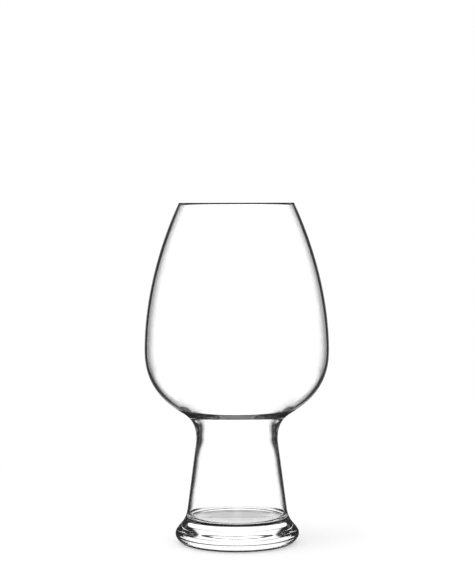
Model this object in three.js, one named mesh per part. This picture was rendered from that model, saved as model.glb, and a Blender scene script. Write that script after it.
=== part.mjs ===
import * as THREE from 'three';

// Wheat beer glass: a blown bowl on a hollow stem and a solid foot, fused at two flat rings.
// Millimetres and degrees. The glass stands on z = 0 and its axis is Z.

// Heights, stacked from the table upward
const FOOT_HEIGHT = 13.8; // table to the bend between foot and stem
const STEM_LENGTH = 44.2; // bend to the narrowest place of the neck
const NECK_RISE = 13.3; // narrowest place to where the outline stops hollowing
const HIP_RISE = 33.9; // from there to the widest place of the bowl
const SIDE_RISE = 80.8; // widest place to the top of the rim

// Radii of the outside
const RIM_RADIUS = 31.6;
const BELLY_RADIUS = 50.4;
const NECK_RADIUS = 22.4;
const NECK_FLARE = 7.3; // opening of the outline from the neck to where it stops hollowing
const FOOT_FLARE = 6.0; // how far the edge of the foot stands out from the bend
const HEEL_INSET = 3.9; // how far the standing ring lies inside the edge of the foot
const STANDING_RING = 7.5; // width of the flat ring that the glass stands on
const EDGE_HEIGHT = 4.6; // height of the widest place of the foot

// Slopes of the outside, measured from upright
const RIM_LEAN = 25; // inward at the rim
const NECK_SLOPE = 57.4; // under the bowl, where it runs flattest
const STEM_TAPER = 7.6; // outward, going down
const FOOT_SLOPE = 37; // outward on the top of the foot

// Lengths over which one run of the outline eases into the next
const STEM_BLEND = 5.5; // neck into straight stem
const FOOT_BLEND = 3.7; // to each side of the bend

// Thickness of the glass
const RIM_WALL = 1.1;
const BELLY_WALL = 1.25;
const HIP_WALL = 1.3;
const LIP_WALL = 3.3; // swelling above the neck, where least glass was stretched
const NECK_WALL = 1.8;
const STEM_WALL = 1.1;
const FLOOR_THICKNESS = 13.7; // solid glass under the hollow
const FLOOR_ROUND = 2.8; // run of the rounded corner round the floor
const FLOOR_DISH = 0.6; // sinking of the floor toward its middle
const PUNT_DEPTH = 0.4; // hollow under the foot, inside the standing ring

// Fullness of the curves, as shares of the rise that each one climbs
const SIDE_FULLNESS = { rim: 0.305, belly: 0.358 };
const HIP_FULLNESS = { belly: 0.585, neck: 0.31 };
const NECK_FULLNESS = { slope: 0.512, neck: 0.355 };

const AROUND = 64; // facets round the axis

const point = (r, z) => new THREE.Vector2(r, z);
const rad = THREE.MathUtils.degToRad;

// Unit step along an outline that goes down and leans outward by an angle
const heading = (lean) => point(Math.sin(rad(lean)), -Math.cos(rad(lean)));
const along = (from, lean, length) => from.clone().addScaledVector(heading(lean), length);

// Heights of the stations on the outline
const neckZ = FOOT_HEIGHT + STEM_LENGTH;
const slopeZ = neckZ + NECK_RISE;
const bellyZ = slopeZ + HIP_RISE;
const topZ = bellyZ + SIDE_RISE;
const lipZ = neckZ + 0.8 * NECK_RISE;
const hipZ = slopeZ + 0.07 * HIP_RISE;
const settleZ = neckZ - 0.3 * STEM_LENGTH;

// Centre of the fire-polished rim, and where the outside of the wall leaves it
const rimCentre = point(RIM_RADIUS - RIM_WALL / 2, topZ - RIM_WALL / 2);
const rimOut = along(rimCentre, RIM_LEAN + 90, RIM_WALL / 2);

// Stations on the outside
const belly = point(BELLY_RADIUS, bellyZ);
const slope = point(NECK_RADIUS + NECK_FLARE, slopeZ);
const neck = point(NECK_RADIUS, neckZ);
const shank = point(NECK_RADIUS + 0.5 * Math.tan(rad(STEM_TAPER)) * STEM_BLEND, neckZ - STEM_BLEND);
const bend = along(shank, STEM_TAPER, (shank.y - FOOT_HEIGHT) / Math.cos(rad(STEM_TAPER)));
const stemEnd = along(bend, STEM_TAPER, -FOOT_BLEND);
const footTop = along(bend, FOOT_SLOPE, FOOT_BLEND);
const edge = point(bend.x + FOOT_FLARE, EDGE_HEIGHT);
const heel = point(edge.x - HEEL_INSET, 0);
const puntEdge = point(heel.x - STANDING_RING, 0);

// Curves of the outside, each drawn downward
const side = new THREE.CubicBezierCurve(
  rimOut,
  along(rimOut, RIM_LEAN, SIDE_FULLNESS.rim * SIDE_RISE),
  point(belly.x, belly.y + SIDE_FULLNESS.belly * SIDE_RISE),
  belly,
);
const hip = new THREE.CubicBezierCurve(
  belly,
  point(belly.x, belly.y - HIP_FULLNESS.belly * HIP_RISE),
  along(slope, -NECK_SLOPE, -HIP_FULLNESS.neck * HIP_RISE),
  slope,
);
const hollow = new THREE.CubicBezierCurve(
  slope,
  along(slope, -NECK_SLOPE, NECK_FULLNESS.slope * NECK_RISE),
  point(neck.x, neck.y + NECK_FULLNESS.neck * NECK_RISE),
  neck,
);
const stemEase = new THREE.QuadraticBezierCurve(neck, point(neck.x, neck.y - STEM_BLEND / 2), shank);
const bendEase = new THREE.QuadraticBezierCurve(stemEnd, bend, footTop);
const footFlank = new THREE.CubicBezierCurve(
  footTop,
  along(footTop, FOOT_SLOPE, 0.5 * (footTop.y - edge.y)),
  point(edge.x, edge.y + 0.55 * EDGE_HEIGHT),
  edge,
);
const footHeel = new THREE.CubicBezierCurve(
  edge,
  point(edge.x, 0.6 * EDGE_HEIGHT),
  point(heel.x + 0.25 * HEEL_INSET, 0),
  heel,
);

// Thickness at a height: it eases from each station to the next
function thickness(stations, z) {
  const below = stations.findIndex((station) => station.z <= z);
  if (below === 0) return stations[0].wall;
  if (below < 0) return stations.at(-1).wall;
  const low = stations[below];
  const high = stations[below - 1];
  const share = THREE.MathUtils.smoothstep(z, low.z, high.z);
  return THREE.MathUtils.lerp(low.wall, high.wall, share);
}

const bowlWall = [
  { z: rimOut.y, wall: RIM_WALL },
  { z: bellyZ, wall: BELLY_WALL },
  { z: hipZ, wall: HIP_WALL },
  { z: lipZ, wall: LIP_WALL },
  { z: neckZ, wall: NECK_WALL },
];
const stemWall = [
  { z: neckZ, wall: NECK_WALL },
  { z: settleZ, wall: STEM_WALL },
];

// Points of a curve, without its first one, so that runs can be strung together
const run = (curve, steps) => curve.getPoints(steps).slice(1);

// Inside of a curve: each point stepped inward, square to the outline, by the wall there
function inside(curve, steps, stations) {
  const points = [];
  for (let step = 0; step <= steps; step += 1) {
    const at = curve.getPoint(step / steps);
    const going = curve.getTangent(step / steps);
    const wall = thickness(stations, at.y);
    points.push(point(at.x + going.y * wall, at.y - going.x * wall));
  }
  return points;
}

// Solid of revolution about Z from a profile that runs up its outside and back down its inside
function turned(name, profile, material) {
  const geometry = new THREE.LatheGeometry(profile, AROUND);
  geometry.rotateX(Math.PI / 2);
  const mesh = new THREE.Mesh(geometry, material);
  mesh.name = name;
  return mesh;
}

const glass = new THREE.MeshStandardMaterial({
  name: 'clear_glass',
  color: 0xf2f5f5,
  roughness: 0.03,
  metalness: 0,
  transparent: true,
  opacity: 0.35,
});

// Bowl: side, hip and neck, closed by the round rim above and the flat seam below
const rimArc = [];
for (let step = 0; step <= 6; step += 1) {
  rimArc.push(along(rimCentre, RIM_LEAN + 90 + 30 * step, RIM_WALL / 2));
}
const bowlOutside = [...run(hollow, 9).reverse(), ...run(hip, 12).reverse(), ...run(side, 10).reverse()];
const bowlInside = [
  ...inside(side, 10, bowlWall).slice(1),
  ...inside(hip, 12, bowlWall).slice(1),
  ...inside(hollow, 9, bowlWall).slice(1),
];
const bowlProfile = [...bowlOutside, ...rimArc, ...bowlInside, neck];

// Stem: hollow tapered shank between the two flat seams
const stemOutside = [stemEnd, ...run(stemEase, 4).reverse(), neck];
const stemInside = [];
for (let step = 0; step <= 10; step += 1) {
  const z = THREE.MathUtils.lerp(neckZ, stemEnd.y, step / 10);
  const above = Math.max(z - shank.y, 0) / STEM_BLEND;
  const straight = shank.x + (shank.y - z) * Math.tan(rad(STEM_TAPER));
  const outside = straight + 0.5 * Math.tan(rad(STEM_TAPER)) * STEM_BLEND * above * above;
  stemInside.push(point(outside - thickness(stemWall, z), z));
}
const stemProfile = [...stemOutside, ...stemInside, stemEnd];

// Foot: solid disc, dished on top to make the floor of the hollow, with a shallow hollow underneath
const dishTop = stemInside.at(-1);
const dishDepth = dishTop.y - FLOOR_THICKNESS;
const dishCorner = point(dishTop.x + dishDepth * Math.tan(rad(STEM_TAPER)), FLOOR_THICKNESS);
const floorEdge = point(dishCorner.x - FLOOR_ROUND, FLOOR_THICKNESS);
const dishWall = new THREE.QuadraticBezierCurve(dishTop, dishCorner, floorEdge);
const floorMiddle = point(0, FLOOR_THICKNESS - FLOOR_DISH);
const floor = new THREE.QuadraticBezierCurve(floorEdge, point(0.5 * floorEdge.x, floorMiddle.y), floorMiddle);
const puntMiddle = point(0, PUNT_DEPTH);
const punt = new THREE.QuadraticBezierCurve(puntMiddle, point(0.6 * puntEdge.x, PUNT_DEPTH), puntEdge);
const footOutside = [...run(footHeel, 7).reverse(), ...run(footFlank, 6).reverse(), ...run(bendEase, 4).reverse()];
const footProfile = [
  puntMiddle,
  ...run(punt, 5),
  ...footOutside,
  stemEnd,
  dishTop,
  ...run(dishWall, 5),
  ...run(floor, 3),
];

const glassware = new THREE.Group();
glassware.name = 'wheat_beer_glass';
glassware.add(turned('bowl', bowlProfile, glass));
glassware.add(turned('stem', stemProfile, glass));
glassware.add(turned('foot', footProfile, glass));

export default glassware;
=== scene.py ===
# %% [markdown]
# # A clear wheat beer glass
#
# The object is an empty glass with a wide bowl, a short hollow stem and a heavy foot. Its shape is already settled
# in a CAD model, which this script opens as a fixed frame. What is left is the look: smooth surfaces that bend light
# the way thick and thin glass does, and a bright field behind them, as a photographer of glassware would set it up.

# %% Open the frame
from math import comb

import bpy
import numpy as np
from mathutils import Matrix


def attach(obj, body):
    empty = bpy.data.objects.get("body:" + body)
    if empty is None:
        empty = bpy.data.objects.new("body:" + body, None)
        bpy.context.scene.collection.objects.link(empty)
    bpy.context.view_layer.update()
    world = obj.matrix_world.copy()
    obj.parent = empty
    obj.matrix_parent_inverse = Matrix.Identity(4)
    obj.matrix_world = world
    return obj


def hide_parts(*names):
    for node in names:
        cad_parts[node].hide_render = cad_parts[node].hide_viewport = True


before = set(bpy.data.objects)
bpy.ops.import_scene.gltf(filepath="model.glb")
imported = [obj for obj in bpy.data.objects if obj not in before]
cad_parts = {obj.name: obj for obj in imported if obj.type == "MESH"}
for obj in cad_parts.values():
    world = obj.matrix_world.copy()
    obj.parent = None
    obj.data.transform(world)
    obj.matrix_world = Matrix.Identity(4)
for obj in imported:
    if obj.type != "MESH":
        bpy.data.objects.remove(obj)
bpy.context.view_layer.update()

scene = bpy.context.scene
print("nodes:", sorted(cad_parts))

# %% [markdown]
# ## The outline
#
# A blown glass is round, so one line tells all: how far the outside stands from the axis at each height. That line is
# drawn here from a few heights, radii and slopes, joined by Bezier curves. A Bezier curve starts and ends in a chosen
# direction, so neighbouring curves can share a slope, and light runs over their joint without a break.

# %% Sizes of the outside, in millimetres and degrees
FOOT_HEIGHT, STEM_LENGTH, NECK_RISE, HIP_RISE, SIDE_RISE = 13.8, 44.2, 13.3, 33.9, 80.8
RIM_RADIUS, BELLY_RADIUS, NECK_RADIUS = 31.6, 50.4, 22.4
NECK_FLARE, FOOT_FLARE, HEEL_INSET, STANDING_RING, EDGE_HEIGHT = 7.3, 6.0, 3.9, 7.5, 4.6
RIM_LEAN, NECK_SLOPE, STEM_TAPER, FOOT_SLOPE = 25.0, 57.4, 7.6, 37.0
STEM_BLEND, FOOT_BLEND = 5.5, 3.7
RIM_WALL = 1.1

neck_z = FOOT_HEIGHT + STEM_LENGTH
slope_z = neck_z + NECK_RISE
belly_z = slope_z + HIP_RISE
top_z = belly_z + SIDE_RISE
print("neck, belly and rim stand at", neck_z, round(belly_z, 1), round(top_z, 1), "mm")


# %% [markdown]
# ## Tools for drawing the line
#
# Three small tools draw the profile: a point, a direction and a curve. The curve also gives its direction at every
# point. Those directions become the normals of the glass later, so that they come from the formula and not from facets.

# %% Lines and curves of the profile
def spot(r, z):
    """A point of the profile: its radius and its height."""
    return np.array([r, z], float)


def heading(lean):
    """Unit step that goes down and leans outward by an angle: its sine outward, its cosine downward."""
    return np.array([np.sin(np.radians(lean)), -np.cos(np.radians(lean))])


def bezier(corners, steps):
    """Points of a Bezier curve and its unit tangents. A point is the sum of the corners, each times how many ways it
    can be picked, times a power of t and a power of 1 - t; the tangent is the same sum over their differences."""
    corners = np.array(corners)
    t = np.linspace(0.0, 1.0, steps + 1)[:, None]

    def weighted(points):
        top = len(points) - 1
        k = np.arange(top + 1)
        ways = np.array([comb(top, i) for i in k])
        return (ways * t**k * (1 - t) ** (top - k)) @ points

    tangent = weighted(np.diff(corners, axis=0))
    return weighted(corners), tangent / np.linalg.norm(tangent, axis=1, keepdims=True)


print("from the rim the outline heads", np.round(heading(RIM_LEAN), 2), "in radius and height")

# %% [markdown]
# ## Stations
#
# A maker's drawing gives sizes at a few stations: rim, belly, neck, bend, edge and heel. Each curve runs from one
# station to the next. How full it is depends on how far its two inner corners stand from its ends. Those shares were
# found by laying the outline over the photograph.

# %% Stations and curves of the outside, drawn downward
SIDE_FULL, HIP_FULL, HOLLOW_FULL = (0.305, 0.358), (0.585, 0.31), (0.512, 0.355)
FLANK_FULL, HEEL_FULL = (0.5, 1.55), (0.6, 0.25)

rim_centre = spot(RIM_RADIUS - RIM_WALL / 2, top_z - RIM_WALL / 2)
rim_out = rim_centre + heading(RIM_LEAN + 90) * RIM_WALL / 2
belly = spot(BELLY_RADIUS, belly_z)
slope = spot(NECK_RADIUS + NECK_FLARE, slope_z)
neck = spot(NECK_RADIUS, neck_z)
taper = np.tan(np.radians(STEM_TAPER))
shank = spot(NECK_RADIUS + 0.5 * taper * STEM_BLEND, neck_z - STEM_BLEND)
bend = shank + heading(STEM_TAPER) * (shank[1] - FOOT_HEIGHT) / np.cos(np.radians(STEM_TAPER))
stem_end = bend - heading(STEM_TAPER) * FOOT_BLEND
foot_top = bend + heading(FOOT_SLOPE) * FOOT_BLEND
edge = spot(bend[0] + FOOT_FLARE, EDGE_HEIGHT)
heel = spot(edge[0] - HEEL_INSET, 0.0)
punt_edge = spot(heel[0] - STANDING_RING, 0.0)

side = bezier([rim_out, rim_out + heading(RIM_LEAN) * SIDE_FULL[0] * SIDE_RISE,
               spot(belly[0], belly_z + SIDE_FULL[1] * SIDE_RISE), belly], 44)
hip = bezier([belly, spot(belly[0], belly_z - HIP_FULL[0] * HIP_RISE),
              slope - heading(-NECK_SLOPE) * HIP_FULL[1] * HIP_RISE, slope], 40)
hollow = bezier([slope, slope + heading(-NECK_SLOPE) * HOLLOW_FULL[0] * NECK_RISE,
                 spot(neck[0], neck_z + HOLLOW_FULL[1] * NECK_RISE), neck], 36)
stem_ease = bezier([neck, spot(neck[0], neck_z - STEM_BLEND / 2), shank], 12)
stem_line = bezier([shank, stem_end], 24)
bend_ease = bezier([stem_end, bend, foot_top], 20)
foot_flank = bezier([foot_top, foot_top + heading(FOOT_SLOPE) * FLANK_FULL[0] * (foot_top[1] - edge[1]),
                     spot(edge[0], FLANK_FULL[1] * EDGE_HEIGHT), edge], 24)
foot_heel = bezier([edge, spot(edge[0], HEEL_FULL[0] * EDGE_HEIGHT),
                    spot(heel[0] + HEEL_FULL[1] * HEEL_INSET, 0.0), heel], 24)
print("widest place of the foot: %.1f mm, bend: %.1f mm" % (2 * edge[0], 2 * bend[0]))

# %% [markdown]
# ## The thickness
#
# Glass shows its thickness more than its outside. The wall is thin at the rim and the belly. Just above the neck, where
# the hot glass was stretched least, it swells to a lip, and that lip is the grey band that crosses the throat. The wall
# is measured square to the outside and eases from one height to the next, so no edge shows on the inside.

# %% Wall at each height, in millimetres
BELLY_WALL, HIP_WALL, LIP_WALL, NECK_WALL, STEM_WALL = 1.25, 1.3, 3.3, 1.8, 1.1
LIP_SHARE, HIP_SHARE, SETTLE_SHARE = 0.8, 0.07, 0.3
lip_z = neck_z + LIP_SHARE * NECK_RISE
hip_z = slope_z + HIP_SHARE * HIP_RISE
settle_z = neck_z - SETTLE_SHARE * STEM_LENGTH
wall_z = np.array([0.0, settle_z, neck_z, lip_z, hip_z, belly_z, rim_out[1]])
wall_mm = np.array([STEM_WALL, STEM_WALL, NECK_WALL, LIP_WALL, HIP_WALL, BELLY_WALL, RIM_WALL])


def wall_at(z):
    """Thickness at a height: between two stations it follows 3 u u - 2 u u u, where u is the share of the way up."""
    at = np.clip(np.searchsorted(wall_z, z, side="right") - 1, 0, len(wall_z) - 2)
    u = np.clip((z - wall_z[at]) / (wall_z[at + 1] - wall_z[at]), 0.0, 1.0)
    return wall_mm[at] + (wall_mm[at + 1] - wall_mm[at]) * u * u * (3 - 2 * u)


def joined(*curves):
    """Points and tangents of curves that follow each other, with each shared point kept once."""
    points = np.concatenate([curves[0][0], *[c[0][1:] for c in curves[1:]]])
    tangents = np.concatenate([curves[0][1], *[c[1][1:] for c in curves[1:]]])
    return points, tangents


def turned_back(curve):
    """The same curve drawn from its other end: the order and the tangents are reversed."""
    return curve[0][::-1], -curve[1][::-1]


def with_tangents(points):
    """Points with the unit tangents that their own neighbours give, weighted by the steps between them."""
    length = np.concatenate([[0.0], np.cumsum(np.linalg.norm(np.diff(points, axis=0), axis=1))])
    tangent = np.gradient(points, length, axis=0, edge_order=2)
    return points, tangent / np.linalg.norm(tangent, axis=1, keepdims=True)


def stepped_in(curve):
    """Inside of a wall whose outside is drawn downward: each point moved by the wall there, square to the outline."""
    points, tangents = curve
    inward = np.stack([tangents[:, 1], -tangents[:, 0]], axis=1)
    return with_tangents(points + inward * wall_at(points[:, 1])[:, None])


print("wall at rim, belly, lip and stem:", *np.round(wall_at(np.array([top_z, belly_z, lip_z, settle_z])), 2), "mm")

# %% [markdown]
# ## From a line to a surface
#
# Turning a profile about the axis gives a grid: one direction runs along the profile, the other round the glass. Each
# grid point is found by one formula, so numpy works out the whole piece at once. Normals come from the profile too,
# not from the facets, so refraction stays smooth across every joint. Where two pieces of hot glass are fused, each
# keeps a flat ring that closes its solid. Inside fused glass there is no surface to see, so that ring gets a clear
# finish of its own.

# %% The turning
AROUND = 256
angle = np.arange(AROUND) * 2 * np.pi / AROUND
turn = np.stack([np.cos(angle), np.sin(angle)], axis=1)


def spun(pairs):
    """Carries (radius, height) pairs round the axis: radius times cosine, radius times sine, height."""
    pairs = np.asarray(pairs, float)
    rings = np.empty((len(pairs), AROUND, 3))
    rings[..., :2] = pairs[:, None, :1] * turn
    rings[..., 2] = pairs[:, 1:]
    return rings


def turned_piece(name, runs, finishes):
    """A closed solid of revolution. runs are (curve, finish number) in order, up the outside and down the inside; each
    starts where the last one ends. The normal beside a point is its tangent turned a quarter outward."""
    starts, row_normals, end_normals, finish = [], [], [], []
    for (points, tangents), number in runs:
        normals = np.stack([tangents[:, 1], -tangents[:, 0]], axis=1)
        starts.append(points[:-1])
        row_normals.append(normals[:-1])
        end_normals.append(normals[1:])
        finish.append(np.full(len(points) - 1, number))
    rows = np.concatenate(starts)
    n0, n1 = spun(np.concatenate(row_normals)), spun(np.concatenate(end_normals))
    finish = np.concatenate(finish)
    has_poles = rows[0, 0] < 1e-9
    if has_poles:
        rows = np.concatenate([rows, runs[-1][0][0][-1:]])
    count = len(rows)
    place = spun(rows * 0.001).reshape(-1, 3)
    strip, step = np.meshgrid(np.arange(len(finish)), np.arange(AROUND), indexing="ij")
    following = (step + 1) % AROUND
    above = (strip + 1) % count
    corners = np.stack([strip * AROUND + step, strip * AROUND + following,
                        above * AROUND + following, above * AROUND + step], axis=-1)
    facing = np.stack([n0, np.roll(n0, -1, axis=1), np.roll(n1, -1, axis=1), n1], axis=2)
    keep = np.ones(corners.shape, bool)
    if has_poles:
        corners[0, :, :2] = 0
        corners[-1, :, 2:] = (count - 1) * AROUND
        keep[0, :, 1] = False
        keep[-1, :, 2] = False
    used, corner = np.unique(corners[keep], return_inverse=True)
    sizes = keep.sum(-1).ravel()
    mesh = bpy.data.meshes.new(name)
    mesh.vertices.add(len(used))
    mesh.vertices.foreach_set("co", place[used].astype(np.float32).ravel())
    mesh.loops.add(len(corner))
    mesh.loops.foreach_set("vertex_index", corner.ravel().astype(np.int32))
    mesh.polygons.add(len(sizes))
    mesh.polygons.foreach_set("loop_start", (np.cumsum(sizes) - sizes).astype(np.int32))
    mesh.polygons.foreach_set("material_index", np.repeat(finish, AROUND).astype(np.int32))
    mesh.polygons.foreach_set("use_smooth", np.ones(len(sizes), bool))
    for material in finishes:
        mesh.materials.append(material)
    mesh.update(calc_edges=True)
    mesh.normals_split_custom_set(facing[keep].tolist())
    piece = bpy.data.objects.new(name, mesh)
    scene.collection.objects.link(piece)
    triangles = int((sizes - 2).sum())
    print(name, "has", triangles, "triangles")
    return piece


print("each ring has", AROUND, "points")

# %% [markdown]
# ## The finish of the glass
#
# Clear soda-lime glass bends light with an index of about 1.5 and takes almost no colour from it. A perfectly even
# surface looks like a computer's, though. Blown glass has faint waves that run round it, and the ring that it stands on
# is dulled by every table it has been set down on. Both are patterns on Object coordinates, so they stay on the glass.

# %% Helpers for node trees
def add_node(tree, kind, values=None, **settings):
    """A new node of a kind, with settings of its own and values or links for its sockets."""
    made = tree.nodes.new(kind)
    for key, value in settings.items():
        setattr(made, key, value)
    for key, value in (values or {}).items():
        if isinstance(value, bpy.types.NodeSocket):
            tree.links.new(value, made.inputs[key])
        else:
            made.inputs[key].default_value = value
    return made


def sum_of(tree, operation, a, b=0.0):
    """One Math node on two numbers or sockets."""
    return add_node(tree, "ShaderNodeMath", {0: a, 1: b}, operation=operation).outputs[0]


def eased(tree, value, start, end, low=0.0, high=1.0):
    """Goes softly from low to high while the value goes from start to end."""
    made = add_node(tree, "ShaderNodeMapRange", {"Value": value, "From Min": start, "From Max": end,
                                                 "To Min": low, "To Max": high}, interpolation_type="SMOOTHSTEP")
    return made.outputs["Result"]


print("helpers ready: a node, a sum and a soft step")

# %% [markdown]
# ## Clear glass
#
# The waves are a bump, and they take a trace of green with them. Two places also get painted shade: a dark zone in
# the colour at the top of the rim, and at the heel beside the table. Both are rounded so tightly that a real one shows
# as a thin dark line, drawn by the bending of light; a picture of this size has no room for that bending, so the line
# is painted.

# %% Make the finishes
GLASS_INDEX = 1.5
# The last colour is painted shade: near-black for the thin dark line at the rim top and the heel.
CLEAR, GREENISH, PAINTED_EDGE_SHADE = (1.0, 1.0, 1.0, 1.0), (0.985, 0.992, 0.99, 1.0), (0.003, 0.003, 0.003, 1.0)
WORN_HEIGHT, WORN_ROUGHNESS = 0.00025, 0.04
ZONE_FADE = 0.0004


def clear_glass(name, wave_height, wave_width, clear_from, dark_from, outside):
    """Glass whose surface waves are a noise pattern, squeezed upright so that each wave runs round the piece. The
    painted shade, a dark zone in the colour, comes on between the heights clear_from and dark_from, and only beyond the
    radius outside; all in metres."""
    finish = bpy.data.materials.new(name)
    finish.use_nodes = True
    tree = finish.node_tree
    shader = tree.nodes["Principled BSDF"]
    shader.inputs["Transmission Weight"].default_value = 1.0
    shader.inputs["IOR"].default_value = GLASS_INDEX
    place = add_node(tree, "ShaderNodeTexCoord").outputs["Object"]
    squeezed = add_node(tree, "ShaderNodeMapping", {"Vector": place, "Scale": (1.0, 1.0, 2.5)}).outputs["Vector"]
    waves = add_node(tree, "ShaderNodeTexNoise", {"Vector": squeezed, "Scale": 1.0 / wave_width, "Detail": 1.0,
                                                  "Roughness": 0.4}).outputs["Fac"]
    bump = add_node(tree, "ShaderNodeBump", {"Height": waves, "Strength": 1.0, "Distance": wave_height})
    tree.links.new(bump.outputs["Normal"], shader.inputs["Normal"])
    tint = add_node(tree, "ShaderNodeMix", {0: waves, 6: CLEAR, 7: GREENISH}, data_type="RGBA")
    height = add_node(tree, "ShaderNodeSeparateXYZ", {"Vector": place}).outputs["Z"]
    level = add_node(tree, "ShaderNodeVectorMath", {0: place, 1: (1.0, 1.0, 0.0)}, operation="MULTIPLY").outputs[0]
    radius = add_node(tree, "ShaderNodeVectorMath", {0: level}, operation="LENGTH").outputs["Value"]
    # Painted shade: near-black mixed into the colour where bent light would draw a dark line at the rim top or the
    # heel.
    dark = sum_of(tree, "MULTIPLY", eased(tree, height, clear_from, dark_from),
                  eased(tree, radius, outside, outside + ZONE_FADE))
    colour = add_node(tree, "ShaderNodeMix", {0: dark, 6: tint.outputs[2], 7: PAINTED_EDGE_SHADE}, data_type="RGBA")
    tree.links.new(colour.outputs[2], shader.inputs["Base Color"])
    scuffs = add_node(tree, "ShaderNodeTexNoise", {"Vector": place, "Scale": 900.0, "Detail": 3.0}).outputs["Fac"]
    worn = eased(tree, height, WORN_HEIGHT, 0.0, 0.0, WORN_ROUGHNESS)
    tree.links.new(sum_of(tree, "MULTIPLY", worn, scuffs), shader.inputs["Roughness"])
    return finish


def fused_ring(name):
    """The inside of a fused joint: fully see-through, because glass meets the same glass there."""
    finish = bpy.data.materials.new(name)
    finish.use_nodes = True
    finish.node_tree.nodes["Principled BSDF"].inputs["Alpha"].default_value = 0.0
    return finish


# The last three numbers place the painted shade: at the top of the rim for the blown glass, at the heel for the foot.
blown = clear_glass("blown_clear_glass", 0.000004, 0.016, 0.1850, 0.1855, 0.02)
pressed = clear_glass("pressed_clear_glass", 0.000006, 0.007, 0.0018, 0.0012, 0.0302)
joint = fused_ring("fused_joint")
print("finishes:", blown.name, pressed.name, joint.name)

# %% [markdown]
# ## The bowl
#
# The bowl is one blown shell. Its rim was cut and melted round in a flame, so it ends in half a circle as thick as the
# wall. The profile climbs the outside from the neck, goes over the rim and comes down the inside.

# %% Make the bowl
sweep = np.linspace(0.0, np.pi, 17)[:, None] + np.radians(RIM_LEAN + 90)
round_rim = (rim_centre + np.hstack([np.sin(sweep), -np.cos(sweep)]) * RIM_WALL / 2,
             np.hstack([np.cos(sweep), np.sin(sweep)]))
bowl_outside = joined(side, hip, hollow)
bowl_inside = stepped_in(bowl_outside)
neck_ring = bezier([bowl_inside[0][-1], neck], 1)
bowl = turned_piece("glass_bowl", [(turned_back(bowl_outside), 0), (round_rim, 0), (bowl_inside, 0), (neck_ring, 1)],
                    [blown, joint])
print("mouth: %.1f mm across" % (2 * bowl_inside[0][0, 0]))

# %% [markdown]
# ## The stem
#
# The stem is a hollow tapered tube, open into the bowl. It is drawn from the same outline, so that its ends meet the
# bowl and the foot with the same slope and the same wall.

# %% Make the stem
stem_outside = joined(stem_ease, stem_line)
stem_z = stem_outside[0][:, 1]
stem_inside = with_tangents(np.stack([stem_outside[0][:, 0] - wall_at(stem_z), stem_z], axis=1))
upper_ring = bezier([neck, stem_inside[0][0]], 1)
lower_ring = bezier([stem_inside[0][-1], stem_end], 1)
stem = turned_piece("glass_stem", [(turned_back(stem_outside), 0), (upper_ring, 1), (stem_inside, 0), (lower_ring, 1)],
                    [blown, joint])
print("stem: %.1f mm long" % (neck_z - stem_end[1]))

# %% [markdown]
# ## The foot
#
# The foot is a solid pressed disc. Its top is dished to make the floor of the hollow, and underneath it is slightly
# hollow too, so that the glass stands on a ring. A solid disc works as a strong lens: its middle shows the bright
# field, and its sides turn dark.

# %% Make the foot
FLOOR_THICKNESS, FLOOR_ROUND, FLOOR_DISH, PUNT_DEPTH = 13.7, 2.8, 0.6, 0.4
dish_top = stem_inside[0][-1]
dish_corner = spot(dish_top[0] + (dish_top[1] - FLOOR_THICKNESS) * taper, FLOOR_THICKNESS)
floor_edge = spot(dish_corner[0] - FLOOR_ROUND, FLOOR_THICKNESS)
floor_middle = spot(0.0, FLOOR_THICKNESS - FLOOR_DISH)
dish = bezier([dish_top, dish_corner, floor_edge], 16)
glass_floor = bezier([floor_edge, spot(0.5 * floor_edge[0], floor_middle[1]), floor_middle], 14)
punt_middle = spot(0.0, PUNT_DEPTH)
punt = bezier([punt_middle, spot(0.6 * punt_edge[0], PUNT_DEPTH), punt_edge], 16)
standing = bezier([punt_edge, heel], 4)
foot_outside = turned_back(joined(bend_ease, foot_flank, foot_heel))
foot_ring = bezier([stem_end, dish_top], 1)
foot = turned_piece("glass_foot", [(punt, 0), (standing, 0), (foot_outside, 0), (foot_ring, 1), (dish, 0),
                                   (glass_floor, 0)], [pressed, joint])
print("floor of the hollow: %.1f mm above the table" % floor_middle[1])

# %% [markdown]
# ## Tied to the frame
#
# Each piece now takes the place of its CAD node. All three ride on one body, because fused glass moves as one.

# %% Tie the pieces to the frame
for piece, node in ((bowl, "bowl"), (stem, "stem"), (foot, "foot")):
    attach(piece, "root")
    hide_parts(node)
print("each piece stands for its CAD node")

# %% [markdown]
# ## The bright field
#
# Clear glass has no look of its own; it shows what stands behind it, bent. Photographers put a bright screen behind a
# glass and dark boards beside it. Rays that pass straight through find the screen and stay white. Near an outline the
# rays bend sideways, find the boards and turn dark, and that draws the glass. The world below does the same: it is
# white for the camera, and shows the screens and boards only to rays that the glass has bent. The main screen stands
# behind the glass as the photograph sees it. Others stand where someone who walks round it would need them, and the
# outlines of the photograph's view don't reach them.

# %% The world
SCREEN, BOARD = 1.5, 0.03
world = bpy.data.worlds.new("bright_field")
scene.world = world
world.use_nodes = True
sky = world.node_tree
sky.nodes.clear()
way = add_node(sky, "ShaderNodeSeparateXYZ", {0: add_node(sky, "ShaderNodeTexCoord").outputs["Generated"]})
path = add_node(sky, "ShaderNodeLightPath").outputs
azimuth = sum_of(sky, "ARCTAN2", way.outputs["X"], way.outputs["Y"])
rise = sum_of(sky, "ARCSINE", way.outputs["Z"])
behind = sum_of(sky, "ABSOLUTE", azimuth)


def patch(middle, half, soft, low, high, fade, level):
    """A soft-edged bright patch, and its mirror image on the other side: full level within half of the middle and
    between two heights, all in degrees."""
    sideways = sum_of(sky, "ABSOLUTE", sum_of(sky, "SUBTRACT", behind, np.radians(middle)))
    across = eased(sky, sideways, np.radians(half - soft), np.radians(half + soft), level, 0.0)
    over = eased(sky, rise, np.radians(low - fade), np.radians(low + fade))
    under = eased(sky, rise, np.radians(high - fade), np.radians(high + fade), 1.0, 0.0)
    return sum_of(sky, "MULTIPLY", across, sum_of(sky, "MULTIPLY", over, under))


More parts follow.
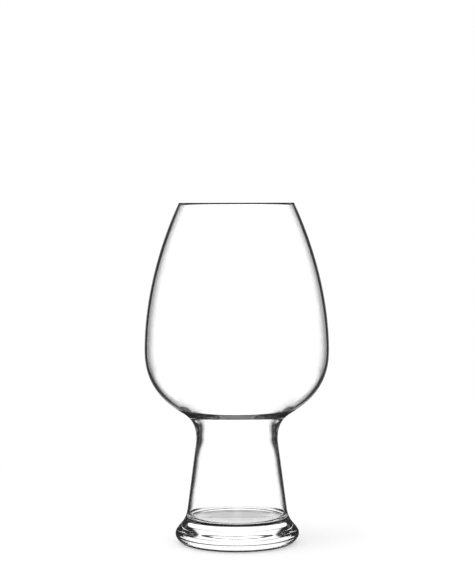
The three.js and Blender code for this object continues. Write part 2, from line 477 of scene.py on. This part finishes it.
# Each screen: middle, half width and its softness, lowest and highest place and their fade, and level
field = patch(0.0, 11.0, 5.0, -45.0, 25.0, 6.0, SCREEN)
others = [(0.0, 34.0, 4.0, 12.0, 32.0, 4.0, 1.2), (0.0, 60.0, 10.0, 40.0, 72.0, 5.0, 1.2),
          (45.0, 11.0, 6.0, -40.0, -16.0, 3.0, SCREEN), (90.0, 10.0, 7.0, -20.0, 15.0, 5.0, SCREEN),
          (135.0, 11.0, 6.0, -32.0, 0.0, 5.0, SCREEN), (180.0, 10.0, 7.0, -32.0, 15.0, 5.0, SCREEN)]
for other in others:
    field = sum_of(sky, "MAXIMUM", field, patch(*other))
field = sum_of(sky, "MAXIMUM", field, BOARD)
print("screens:", 1 + len(others), "with dark boards between them")


# %% [markdown]
# A ray that is thrown about inside the foot many times loses light at each turn, in real glass more than in this
# clear one. So the field fades for rays with many turns behind them.

# %% Join the world's parts
MIRROR_LEVEL, PLAIN_LEVEL = 0.05, 0.75
FADE_FROM, FADE_TO = 5.2, 6.8


def faded(tree, level, left=0.05):
    """A level that stays up to five turns of a ray and has faded to a small share after seven."""
    turns = add_node(tree, "ShaderNodeLightPath").outputs["Ray Depth"]
    return sum_of(tree, "MULTIPLY", eased(tree, turns, FADE_FROM, FADE_TO, 1.0, left), level)


bent = path["Is Transmission Ray"]
mirrored = sum_of(sky, "MULTIPLY", path["Is Glossy Ray"], sum_of(sky, "SUBTRACT", 1.0, bent))
plain = sum_of(sky, "MULTIPLY", path["Is Diffuse Ray"], sum_of(sky, "SUBTRACT", 1.0, bent))
shown = sum_of(sky, "ADD", path["Is Camera Ray"], sum_of(sky, "MULTIPLY", bent, faded(sky, field)))
lit = sum_of(sky, "ADD", sum_of(sky, "MULTIPLY", mirrored, MIRROR_LEVEL), sum_of(sky, "MULTIPLY", plain, PLAIN_LEVEL))
background = add_node(sky, "ShaderNodeBackground", {"Color": (1.0, 1.0, 1.0, 1.0),
                                                    "Strength": sum_of(sky, "ADD", shown, lit)})
add_node(sky, "ShaderNodeOutputWorld", {"Surface": background.outputs[0]})
print("world ready:", len(sky.nodes), "nodes")

# %% [markdown]
# ## The table
#
# The table is plain and pale. It is lit softly, so the glass keeps a faint shadow, and some light of its own lifts it
# to the white of the field behind. Rays that the glass has bent or mirrored find it bright only under the foot and in
# a fan behind it; elsewhere they pass on to the screens and boards. The fan is brighter for rays that were mirrored
# inside the foot, because they leave it at a slant and lose light there.

# %% Make the table
TABLE_DROP, TABLE_HALF = 0.0002, 3.0
LIFT, DISC_LEVEL, FAN_LEVEL, MIRRORED_GAIN = 0.46, 0.95, 1.2, 1.5
DISC_REACH, FAN_REACH, EDGE_FADE = 0.0268, 0.0600, 0.0002
FAN_NEAR, FAN_FAR, FAN_BEND, FAN_SOFT = np.radians(60), np.radians(36), (0.0330, 0.0350), 0.1
NEAR_REACH, FAR_REACH = 0.06, 0.30
corners = TABLE_HALF * np.array([[-1, -1, 0], [1, -1, 0], [1, 1, 0], [-1, 1, 0]], float) - [0, 0, TABLE_DROP]
table_mesh = bpy.data.meshes.new("pale_table")
table_mesh.from_pydata(corners.tolist(), [], [(0, 1, 2, 3)])
table = bpy.data.objects.new("pale_table", table_mesh)
scene.collection.objects.link(table)
pale = bpy.data.materials.new("pale_table_top")
pale.use_nodes = True
top = pale.node_tree
top.nodes.clear()
spread = add_node(top, "ShaderNodeTexCoord").outputs["Object"]
parts = add_node(top, "ShaderNodeSeparateXYZ", {"Vector": spread}).outputs
reach = add_node(top, "ShaderNodeVectorMath", {0: spread}, operation="LENGTH").outputs["Value"]
grain = add_node(top, "ShaderNodeTexNoise", {"Vector": spread, "Scale": 400.0}).outputs["Fac"]
tone = add_node(top, "ShaderNodeMix", {0: grain, 6: (0.79, 0.79, 0.79, 1.0), 7: (0.81, 0.81, 0.81, 1.0)},
                data_type="RGBA").outputs[2]
matt = add_node(top, "ShaderNodeBsdfDiffuse", {"Color": tone}).outputs[0]
lift = add_node(top, "ShaderNodeEmission", {"Color": (1.0, 1.0, 1.0, 1.0), "Strength": LIFT}).outputs[0]
near = add_node(top, "ShaderNodeAddShader", {0: matt, 1: lift}).outputs[0]
far = add_node(top, "ShaderNodeEmission", {"Color": (1.0, 1.0, 1.0, 1.0), "Strength": 1.0}).outputs[0]
distant = eased(top, reach, NEAR_REACH, FAR_REACH)
seen = add_node(top, "ShaderNodeMixShader", {0: distant, 1: near, 2: far}).outputs[0]
toward_back = sum_of(top, "ABSOLUTE", sum_of(top, "ARCTAN2", parts["X"], parts["Y"]))
under_foot = eased(top, reach, DISC_REACH, DISC_REACH + EDGE_FADE, DISC_LEVEL, 0.0)
fan = sum_of(top, "MULTIPLY", eased(top, reach, DISC_REACH + EDGE_FADE, DISC_REACH + 2 * EDGE_FADE),
             eased(top, reach, FAN_REACH, FAN_REACH + EDGE_FADE, FAN_LEVEL, 0.0))
width = eased(top, reach, *FAN_BEND, FAN_NEAR, FAN_FAR)
beyond = sum_of(top, "SUBTRACT", toward_back, width)
fan = sum_of(top, "MULTIPLY", fan, eased(top, beyond, -FAN_SOFT, FAN_SOFT, 1.0, 0.0))
mirrorings = add_node(top, "ShaderNodeLightPath").outputs["Glossy Depth"]
fan = sum_of(top, "MULTIPLY", fan, eased(top, mirrorings, 0.4, 0.6, 1.0, MIRRORED_GAIN))
glow = sum_of(top, "ADD", faded(top, under_foot, 0.25), faded(top, fan))
glowing = add_node(top, "ShaderNodeEmission", {"Color": (1.0, 1.0, 1.0, 1.0), "Strength": glow}).outputs[0]
open_way = add_node(top, "ShaderNodeBsdfTransparent").outputs[0]
covered = sum_of(top, "GREATER_THAN", glow, 0.001)
through = add_node(top, "ShaderNodeMixShader", {0: covered, 1: open_way, 2: glowing}).outputs[0]
kinds = add_node(top, "ShaderNodeLightPath").outputs
bent_ray = sum_of(top, "MAXIMUM", kinds["Is Transmission Ray"], kinds["Is Glossy Ray"])
both = add_node(top, "ShaderNodeMixShader", {0: bent_ray, 1: seen, 2: through}).outputs[0]
add_node(top, "ShaderNodeOutputMaterial", {"Surface": both})
table_mesh.materials.append(pale)
print("table top lies", TABLE_DROP * 1000, "mm below the glass")

# %% [markdown]
# ## Three cards
#
# The foot bends light so strongly that it looks past the screen. Photographers stand a low white card close behind
# such a foot; this one is taller in its middle, behind the hollow of the stem. Two more cards stand to the left and
# right, where the rounded walls of the bowl mirror them; they make the grey beside the outline light and the outline
# thin. A grid in front of them lets light out straight only, so that the sloping foot stays dark. Each card is a strip
# of a cylinder round the glass.

# %% Make the cards
CARD_POINTS = 49
LOW_HALF, TALL_HALF, LOW_TOP, TALL_TOP = 24.0, 16.0, 0.0115, 0.0170
SIDE_MIDDLE, SIDE_HALF, SIDE_REACH, SIDE_LOW, SIDE_TOP = 64.0, 16.0, 0.150, 0.048, 0.300
LOW_LEVEL, SIDE_LEVEL, GRID_OPEN, GRID_SHUT = 1.25, 1.0, 0.05, 0.10


def card(name, radius, first, last, low, high):
    """A strip of a cylinder: radius times sine and cosine of the angle from straight behind, at two heights. The upper
    height is one number, or one for each angle."""
    bow = np.radians(np.linspace(first, last, CARD_POINTS))
    lower = np.stack([radius * np.sin(bow), radius * np.cos(bow), np.full(CARD_POINTS, low)], axis=1)
    upper = lower * [1, 1, 0] + np.broadcast_to(high, (CARD_POINTS, 1)) * [0, 0, 1]
    k = np.arange(CARD_POINTS - 1)
    mesh = bpy.data.meshes.new(name)
    mesh.from_pydata(np.concatenate([lower, upper]).tolist(), [],
                     np.stack([k, k + 1, k + CARD_POINTS + 1, k + CARD_POINTS], axis=1).tolist())
    mesh.shade_smooth()
    made = bpy.data.objects.new(name, mesh)
    scene.collection.objects.link(made)
    made.visible_camera = made.visible_diffuse = made.visible_shadow = False
    white = bpy.data.materials.new(name)
    white.use_nodes = True
    white.node_tree.nodes.clear()
    mesh.materials.append(white)
    return made, white.node_tree


def shine(tree, strength):
    """Light of one strength, or of a pattern, as the whole finish."""
    light = add_node(tree, "ShaderNodeEmission", {"Color": (1.0, 1.0, 1.0, 1.0), "Strength": strength}).outputs[0]
    add_node(tree, "ShaderNodeOutputMaterial", {"Surface": light})


crown = np.where(abs(np.linspace(-LOW_HALF, LOW_HALF, CARD_POINTS)) < TALL_HALF, TALL_TOP, LOW_TOP)[:, None]
low_card, paper = card("low_card", FAN_REACH, -LOW_HALF, LOW_HALF, -TABLE_DROP, crown)
shine(paper, faded(paper, LOW_LEVEL))
low_card.visible_glossy = False
for name, turned_by in (("left_card", -SIDE_MIDDLE), ("right_card", SIDE_MIDDLE)):
    side_card, paper = card(name, SIDE_REACH, turned_by - SIDE_HALF, turned_by + SIDE_HALF, SIDE_LOW, SIDE_TOP)
    slant = add_node(paper, "ShaderNodeLayerWeight").outputs["Facing"]
    shine(paper, eased(paper, slant, GRID_OPEN, GRID_SHUT, SIDE_LEVEL, 0.0))
    side_card.visible_transmission = False
print("cards: one low behind the foot, two beside the bowl")

# %% [markdown]
# ## Lamp and camera
#
# One large soft lamp gives the table its faint shadow. It stays out of reflections, because the glass in the photograph
# shows no lamp. The camera stands at the height of the rim and looks slightly down, which makes the rim a straight line
# and the foot an ellipse.

# %% Place the lamp and the camera
lamp_data = bpy.data.lights.new("soft_box", "AREA")
lamp_data.shape, lamp_data.size, lamp_data.size_y, lamp_data.energy = "RECTANGLE", 1.6, 1.2, 6.0
lamp = bpy.data.objects.new("soft_box", lamp_data)
lamp.location = (-0.9, -0.5, 1.6)
lamp.rotation_euler = (np.radians(-17), np.radians(-29), 0.0)
lamp.visible_glossy = lamp.visible_transmission = lamp.visible_camera = False
scene.collection.objects.link(lamp)

FOCUS_PIXELS, PICTURE_HEIGHT, SENSOR = 1694.89, 568, 36.0
TILT, ROLL = 2.744, 0.148
camera_data = bpy.data.cameras.new("view")
camera_data.sensor_width = SENSOR
camera_data.lens = FOCUS_PIXELS / PICTURE_HEIGHT * SENSOR
camera_data.clip_start = 0.01
camera = bpy.data.objects.new("view", camera_data)
camera.location = (0.00059, -0.925, 0.186)
camera.rotation_euler = (np.radians(90 - TILT), np.radians(ROLL), 0.0)
scene.collection.objects.link(camera)
scene.camera = camera
print("lens: %.1f mm" % camera_data.lens)

# %% [markdown]
# ## How the picture is taken
#
# Light turns many times inside the foot, so rays get more turns than usual. The view transform is the plain one, so
# that white stays white.

# %% Set the picture
scene.view_settings.view_transform = "Standard"
scene.cycles.max_bounces = 24
scene.cycles.transmission_bounces = 24
scene.cycles.glossy_bounces = 24
scene.cycles.transparent_max_bounces = 32
